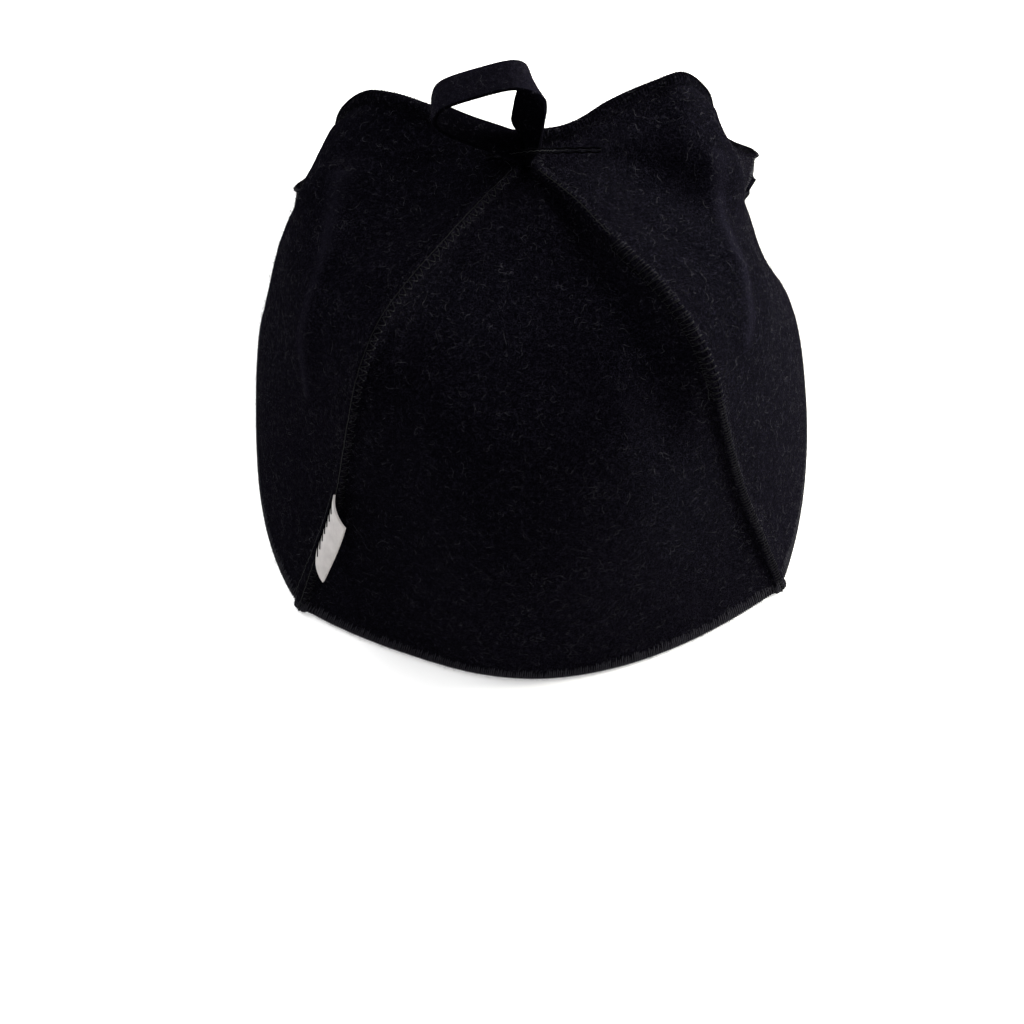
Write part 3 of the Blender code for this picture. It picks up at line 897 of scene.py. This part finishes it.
def strap_line():
    """The strap's centre line, with its directions across the width and through the thickness."""
    side = (LOOP_THICK + GAP) / 2
    levels = [share * (SEAM_RISE + FELT) for share in FOOT_LEVELS]
    points = [np.array([-side, 0.0, level]) for level in levels]
    points += [np.array([row.across * LOOP_SPAN, 0.0, row.up * LOOP_HEIGHT]) for row in STRAP]
    points += [np.array([side, 0.0, level]) for level in reversed(levels)]
    turns = [0.0] * len(levels) + [row.turn for row in STRAP] + [0.0] * len(levels)
    run = lengths_along(np.array(points))
    shares = np.linspace(0, run[-1], STRAP_ROWS + 1)
    twists = np.radians(np.interp(shares, run, turns))
    line = smooth(points, STRAP_ROWS)
    along = unit(np.gradient(line, axis=0))
    along[0], along[-1] = UP, -UP
    wide = np.stack([-np.sin(twists), np.cos(twists), 0 * twists], axis=1)
    wide = unit(wide - along * np.sum(wide * along, axis=1, keepdims=True))
    return APEX + line, wide, np.cross(along, wide)


def strap_sections():
    """Rings of the felt strap, each thinner at its cut edges."""
    line, wide, thick = strap_line()
    across = np.linspace(-1, 1, STRAP_COLUMNS)
    half = LOOP_THICK / 2 * (1 - CUT_THIN * np.abs(across) ** CUT_POWER)
    face = [(w * LOOP_WIDTH / 2, t) for w, t in zip(across, half)]
    ring = face + [(w, -t) for w, t in face[::-1]]
    rings = [line + wide * w + thick * t for w, t in ring]
    return np.array(rings).transpose(1, 0, 2)


def label_sections(held_by):
    """Rings of the tag, each from the seam's crest out to the free edge and back."""
    crest = held_by.crest
    run = lengths_along(crest)
    middle = np.interp(LABEL_HEIGHT, crest[:, 2], run)
    row = int(np.searchsorted(run, middle))
    out = held_by.out[row]
    along = LABEL_LENGTH * (np.linspace(0, 1, LABEL_ROWS + 1) - 0.5)
    roots = spaced(crest, (middle + along) / run[-1])
    rings = []
    for n, root in enumerate(roots):
        droop, begin = (
            low + (top - low) * n / LABEL_ROWS
            for low, top in (LABEL_DROOPS, LABEL_STARTS)
        )
        point = root + out * LABEL_CLEAR
        outer = []
        inner = []
        for k in range(LABEL_ROWS + 1):
            turn = begin + (LABEL_END - begin) * k / LABEL_ROWS
            c, s = math.cos(turn), math.sin(turn)
            ahead = np.array([c * out[0] - s * out[1], s * out[0] + c * out[1], out[2]])
            ahead = ahead - UP * droop
            flank = unit(np.cross(ahead, UP))
            phase = WAVE_TURNS[0] * n / LABEL_ROWS + WAVE_TURNS[1] * k / LABEL_ROWS
            bulge = WAVE_DEEP * math.sin(phase) * k / LABEL_ROWS
            outer.append(point + flank * (LABEL_THICK / 2 + bulge))
            inner.append(point + flank * (bulge - LABEL_THICK / 2))
            point = point + unit(ahead) * LABEL_REACH / LABEL_ROWS
        rings.append(outer + inner[::-1])
    return np.array(rings)


rng = np.random.default_rng(SEED)
felt = felt_material("black_felt", *FELT_TONES)
thread = thread_material("black_thread", *THREAD_LOOK)
dull_thread = thread_material("dull_black_thread", *DULL_LOOK)
hem_thread = thread_material("hem_thread", *HEM_LOOK)
wool = fibre_material("short_wool", *WOOL_TONES)
pale_wool = fibre_material("curled_wool", *CURL_TONES)
tape = tag_material()

faces_of = {gore: gore_faces(gore) for gore in GORES}
seams = {name: seam(name) for name in SEAMS}
strap = strap_sections()
tag = label_sections(seams["front_left"])

# The solids stand with the middle of their box's base at the origin, and so does this model
all_points = [grid.reshape(-1, 3) for pair in faces_of.values() for grid in pair]
all_points = np.concatenate(all_points + [strap.reshape(-1, 3), tag.reshape(-1, 3)])
low, high = all_points.min(axis=0), all_points.max(axis=0)
shift = -np.array([(low[0] + high[0]) / 2, (low[1] + high[1]) / 2, 0.0])
for outer, inner in faces_of.values():
    outer += shift
    inner += shift
strap += shift
tag += shift

felts = {}
for gore, (outer, inner) in faces_of.items():
    rounded_hem(outer, inner)
    dress_felt(outer)
    solid = closed_sections(np.concatenate([outer, inner[:, ::-1]], axis=1))
    piece = new_piece(f"felt_{short(gore)}", solid, felt, FELT_SHARP)
    # Painted highlights along the gore's creases
    set_painted_shade(piece, -crease_highlights(gore, outer, inner).ravel())
    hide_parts(gore)
    felts[gore] = piece

half = strap.shape[1] // 2
felt_strap = new_piece("felt_strap", closed_sections(strap), felt, NARROW_SHARP)
# Painted shade on the strap's inner side and a painted highlight on its outer side
inner_side = np.arange(strap.shape[1]) >= half
set_painted_shade(felt_strap, np.tile(np.where(inner_side, 1.0, -STRAP_OUTSIDE_HIGHLIGHT), len(strap)))
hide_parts("hanging_loop")

cream_tag = new_piece("cream_tag", closed_sections(tag), tape, NARROW_SHARP)
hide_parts("label")

# Stitches over each seam. A seam lies between the end of one gore and the start of the next.
beside = {}
for gore, (first, second) in GORES.items():
    outer = faces_of[gore][0]
    beside[first, gore] = (EdgeStrip(outer, STRIP_REACH), 1)
    beside[second, gore] = (EdgeStrip(outer[:, ::-1], STRIP_REACH), -1)

# Each row sews one stretch of a seam, given in shares of its length from the rim up. reach is how
# far a stitch over the edge comes down on the near and the far face, and each lean adds a layer of
# them. vees are V stitches between two distances off the crest, rails the distances of threads.
Sewing = namedtuple(
    "Sewing",
    "seam near far start end pitch reach leans vees near_rails far_rails",
    defaults=((), (), (), (), ()),
)
FRONT_RIGHT = ("front_right", "gore_front", "gore_right")
FRONT_LEFT = ("front_left", "gore_front", "gore_left")
BACK_RIGHT = ("back_right", "gore_right", "gore_back")
BACK_LEFT = ("back_left", "gore_left", "gore_back")
HIDDEN = dict(reach=(0.0024, 0.0024), leans=(0.0003,))
SEWING = [
    Sewing(*FRONT_RIGHT, 0.00, 0.50, 0.0014, (0.0016, 0.0010), (0.0003,)),
    Sewing(*FRONT_RIGHT, 0.50, 0.83, 0.0025, (0.0046, 0.0014), (0.0, 0.0013), near_rails=(0.0045,)),
    Sewing(*FRONT_RIGHT, 0.83, 1.00, 0.0021, (0.0010, 0.0008), (0.0006,), near_rails=(0.0,)),
    Sewing(*FRONT_LEFT, 0.00, 1.00, 0.0030, vees=(0.0005, 0.0034), near_rails=(0.0,), far_rails=(0.0052,)),
    Sewing(*BACK_RIGHT, 0.00, 1.00, 0.0012, **HIDDEN),
    Sewing(*BACK_LEFT, 0.00, 1.00, 0.0012, **HIDDEN),
]
DULL_SEAMS = ("back_right", "back_left")
for name in SEAMS:
    lines = []
    for plan in SEWING:
        if plan.seam != name:
            continue
        near, far = beside[name, plan.near], beside[name, plan.far]
        length = min(near[0].run[-1], far[0].run[-1])
        stretch = (plan.start * length, plan.end * length)
        for lean in plan.leans:
            lines += over_the_edge(near, far, stretch, plan.pitch, plan.reach, lean, rng)
        if plan.vees:
            lines += zigzag(near, stretch, plan.pitch, *plan.vees, rng)
        for away in plan.near_rails:
            lines += rail(near, stretch, away, rng)
        for away in plan.far_rails:
            lines += rail(far, stretch, away, rng)
    skin = dull_thread if name in DULL_SEAMS else thread
    new_piece(f"stitches_{name}", tubes(lines, THREAD), skin)

# A thread between the two felts of each seam, so that no light comes through
for name, line in seams.items():
    points = line.crest + shift - line.out * 2 * CORE_THREAD
    new_piece(f"core_{name}", tubes([(points, line.out)], CORE_THREAD), dull_thread)

# Stitches over the tag's root, each a little lower where it ends
TAG_PITCH = 0.0030
TAG_REACH = (0.0078, 0.0050)    # at the tag's low end and at its top
TAG_UNEVEN = (0.9, 1.1)
TAG_LEAN = 0.0016
TAG_STEPS = 7
TAG_BAND = 0.7                  # share of the tag's reach that the stitches can use
tag_face = tag[:, :LABEL_ROWS + 1]
root = EdgeStrip(tag_face, TAG_BAND * LABEL_REACH)
flip = 1 if np.dot(root.normals[0, 0], tag[0, 0] - tag[0, -1]) >= 0 else -1
lines = []
shares = np.linspace(0, 1, TAG_STEPS)
lift = HEM_THREAD + 0 * shares
for at in np.arange(TAG_LEAN, root.run[-1], TAG_PITCH):
    reach = np.interp(at, (0, root.run[-1]), TAG_REACH) * rng.uniform(*TAG_UNEVEN)
    lines.append(root.read(at - TAG_LEAN * shares, reach * shares, lift, flip))
new_piece("stitches_tag", tubes(lines, HEM_THREAD), dull_thread)

# A bar tack closes the slot at the apex and holds the strap's feet
TACK_DROP = 0.0042       # below the seams' meeting point
TACK_HALF = (0.0050, 0.0085)
TACK_PITCH = 1.5 * TACK_THREAD
TACK_STEPS = 9
TACK_UNEVEN = 0.0003
lines = []
ends = np.linspace(-TACK_HALF[1], TACK_HALF[1], TACK_STEPS)
for x in np.arange(-TACK_HALF[0], TACK_HALF[0] + TACK_THREAD, TACK_PITCH):
    points = APEX + shift + np.stack([x + 0 * ends, ends, 0 * ends - TACK_DROP], axis=1)
    points[:, 2] += rng.uniform(-TACK_UNEVEN, TACK_UNEVEN, len(ends))
    lines.append((points, np.tile(UP, (len(ends), 1))))
new_piece("bar_tack", tubes(lines, TACK_THREAD), dull_thread)

# Overlock round the hem
HEM_PITCH = 0.0007
HEM_REACH = (0.0062, 0.0042)    # outside and inside
HEM_LEAN = 0.0005
HEM_SPARE = 0.35
HEM_BAND = 6                    # rows of the felt that the stitches lie on
for gore, (outer, inner) in faces_of.items():
    middle = (outer[0] + inner[0]) / 2
    sides = []
    for face, flip in ((outer, -1), (inner, 1)):
        band = [np.concatenate([middle[k:k + 1], face[:HEM_BAND, k]]) for k in range(len(middle))]
        sides.append((EdgeStrip(band, STRIP_REACH), flip))
    stretch = (0.0, sides[0][0].run[-1])
    lines = over_the_edge(*sides, stretch, HEM_PITCH, HEM_REACH, HEM_LEAN, rng, HEM_SPARE, HEM_THREAD)
    new_piece(f"stitches_hem_{short(gore)}", tubes(lines, HEM_THREAD), hem_thread)

# Loose fibres, as many as the table says on each gore and outside and inside the strap
Wool = namedtuple("Wool", "name kind skin gore outside inside")
WOOLS = [
    Wool("bits", BITS, wool, 9000, 1500, 250),
    Wool("curls", CURLS, pale_wool, 900, 70, 10),
    Wool("nap", NAP, wool, 3500, 700, 200),
]
for gore, (outer, inner) in faces_of.items():
    for row in WOOLS:
        spots = scatter(outer, row.gore, rng)
        fibres(f"{row.name}_{short(gore)}", row.kind, *spots, rng, row.skin)

# Pale bits on the hem and along the seams, where the felt was cut
HEM_ROWS = 4
HEM_BITS = 1300
SEAM_COLUMNS = 9
SEAM_BITS = 450
for gore, (outer, inner) in faces_of.items():
    bands = [
        (outer[:HEM_ROWS], HEM_BITS),
        (outer[:, :SEAM_COLUMNS], SEAM_BITS),
        (outer[:, -SEAM_COLUMNS:], SEAM_BITS),
    ]
    found = [scatter(band, count, rng) for band, count in bands]
    spots = [np.concatenate(part) for part in zip(*found)]
    fibres(f"fuzz_{short(gore)}", BITS, *spots, rng, pale_wool)

for row in WOOLS:
    for side, columns, count in (
        ("outside", strap[:, :half], row.outside),
        ("inside", strap[:, half:], row.inside),
    ):
        spots = scatter(columns[:, ::-1], count, rng)
        fibres(f"{row.name}_strap_{side}", row.kind, *spots, rng, row.skin)

# The photo's directions: across it, up it, and towards the camera, 55 degrees above the floor
ELEVATION = math.radians(55)
rightward = np.array([1.0, 0.0, 0.0])
upward = np.array([0.0, math.sin(ELEVATION), math.cos(ELEVATION)])
towards = np.array([0.0, -math.cos(ELEVATION), math.sin(ELEVATION)])

# The tail of the sewing, a chain of thread that wraps the strap's foot and lies on the felt. over
# is how far it is held off the felt towards the camera.
TailRow = namedtuple("TailRow", "across up over")
TAIL = [
    TailRow(-0.0148, 0.0787, 0.0004),
    TailRow(-0.0118, 0.0790, 0.0006),
    TailRow(-0.0090, 0.0793, 0.0020),
    TailRow(-0.0065, 0.0796, 0.0080),
    TailRow(-0.0040, 0.0799, 0.0110),
    TailRow(0.0000, 0.0803, 0.0113),
    TailRow(0.0035, 0.0806, 0.0090),
    TailRow(0.0065, 0.0808, 0.0030),
    TailRow(0.0100, 0.0810, 0.0010),
    TailRow(0.0160, 0.0811, 0.0006),
    TailRow(0.0223, 0.0812, 0.0006),
]
TAIL_STEPS = 150
TAIL_FROM = 0.5          # where the lines that find the felt start
PLY_TURN = 0.0021        # length of one turn
PLY_APART = 0.0007
PLY_WAVE = 0.00016
trees = []
for piece in felts.values():
    corners = [vertex.co for vertex in piece.data.vertices]
    trees.append(BVHTree.FromPolygons(corners, [face.vertices for face in piece.data.polygons]))
seats = []
for row in TAIL:
    start = rightward * row.across + upward * row.up + towards * TAIL_FROM
    hits = [tree.ray_cast(Vector(start), Vector(-towards))[0] for tree in trees]
    nearest = max([np.dot(hit, towards) for hit in hits if hit] + [np.dot(APEX, towards)])
    seats.append(rightward * row.across + upward * row.up + towards * (nearest + row.over))
line = smooth(seats, TAIL_STEPS)
along = unit(np.gradient(line, axis=0))
side = unit(np.cross(along, towards))
front = np.cross(side, along)
turn = lengths_along(line)[:, None] / PLY_TURN * 2 * math.pi
plies = []
for way in (1, -1):
    wave = PLY_WAVE * np.sin(turn / 2 + way)
    plies.append((line + side * (way * PLY_APART + wave) + front * wave, front))
new_piece("thread_tail", tubes(plies, TAIL_THREAD), dull_thread)
core = line + front * TAIL_THREAD / 2 + side * PLY_WAVE * np.sin(turn)
new_piece("thread_tail_core", tubes([(core, front)], THREAD), thread)

for piece in shown:
    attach(piece, "root")

# Floor, backdrop and light
FLOOR = 4.0
FLOOR_GLOW = 0.5
SKY = 0.27
floor_skin, floor_shader = new_material("pale_floor", (0.9, 0.9, 0.9), 0.6)
set_sockets(floor_shader, {"Emission Color": (*WHITE, 1.0), "Emission Strength": FLOOR_GLOW})
corners = [(-FLOOR, -FLOOR, 0), (FLOOR, -FLOOR, 0), (FLOOR, FLOOR, 0), (-FLOOR, FLOOR, 0)]
mesh = bpy.data.meshes.new("floor")
mesh.from_pydata(corners, [], [(0, 1, 2, 3)])
mesh.materials.append(floor_skin)
floor = add_object("floor", mesh)

world = bpy.data.worlds.new("studio")
bpy.context.scene.world = world
world.use_nodes = True
set_sockets(world.node_tree.nodes["Background"], {"Color": (*WHITE, 1.0), "Strength": SKY})


def facing(direction):
    """The turn that points a lamp or a camera in a direction."""
    return Vector(direction).to_track_quat("-Z", "Y").to_euler()


Lamp = namedtuple("Lamp", "name place aim size power colour")
LAMPS = [
    Lamp("key", (1.15, 0.40, 0.55), (0.0, 0.0, 0.06), 0.9, 65.0, (1.0, 0.99, 0.90)),
    Lamp("fill", (-0.75, 0.35, 1.10), (0.0, 0.0, 0.06), 0.7, 12.0, WHITE),
    Lamp("overhead", (0.1, 0.3, 1.6), (0.0, 0.0, 0.0), 1.6, 7.5, WHITE),
]
for lamp in LAMPS:
    data = bpy.data.lights.new(lamp.name, "AREA")
    data.energy = lamp.power
    data.color = lamp.colour
    data.size = lamp.size
    light = add_object(lamp.name, data)
    light.location = lamp.place
    light.rotation_euler = facing(Vector(lamp.aim) - Vector(lamp.place))

# The photo's camera, with the hat high in the frame
DISTANCE = 3.0
FRAME_WIDTH = 0.33792    # what the frame takes in at the target
SENSOR = 36              # millimetres
CLIP_END = 20
TARGET_ACROSS = -0.0064
TARGET_UP = -0.0356
TARGET_TOWARDS = 0.0517
target = rightward * TARGET_ACROSS + upward * TARGET_UP + towards * TARGET_TOWARDS
data = bpy.data.cameras.new("camera")
data.sensor_width = SENSOR
data.lens = SENSOR * DISTANCE / FRAME_WIDTH
data.clip_end = CLIP_END
camera = add_object("camera", data)
camera.location = target + towards * DISTANCE
camera.rotation_euler = facing(-towards)
bpy.context.scene.camera = camera
bpy.context.scene.view_settings.view_transform = "Standard"
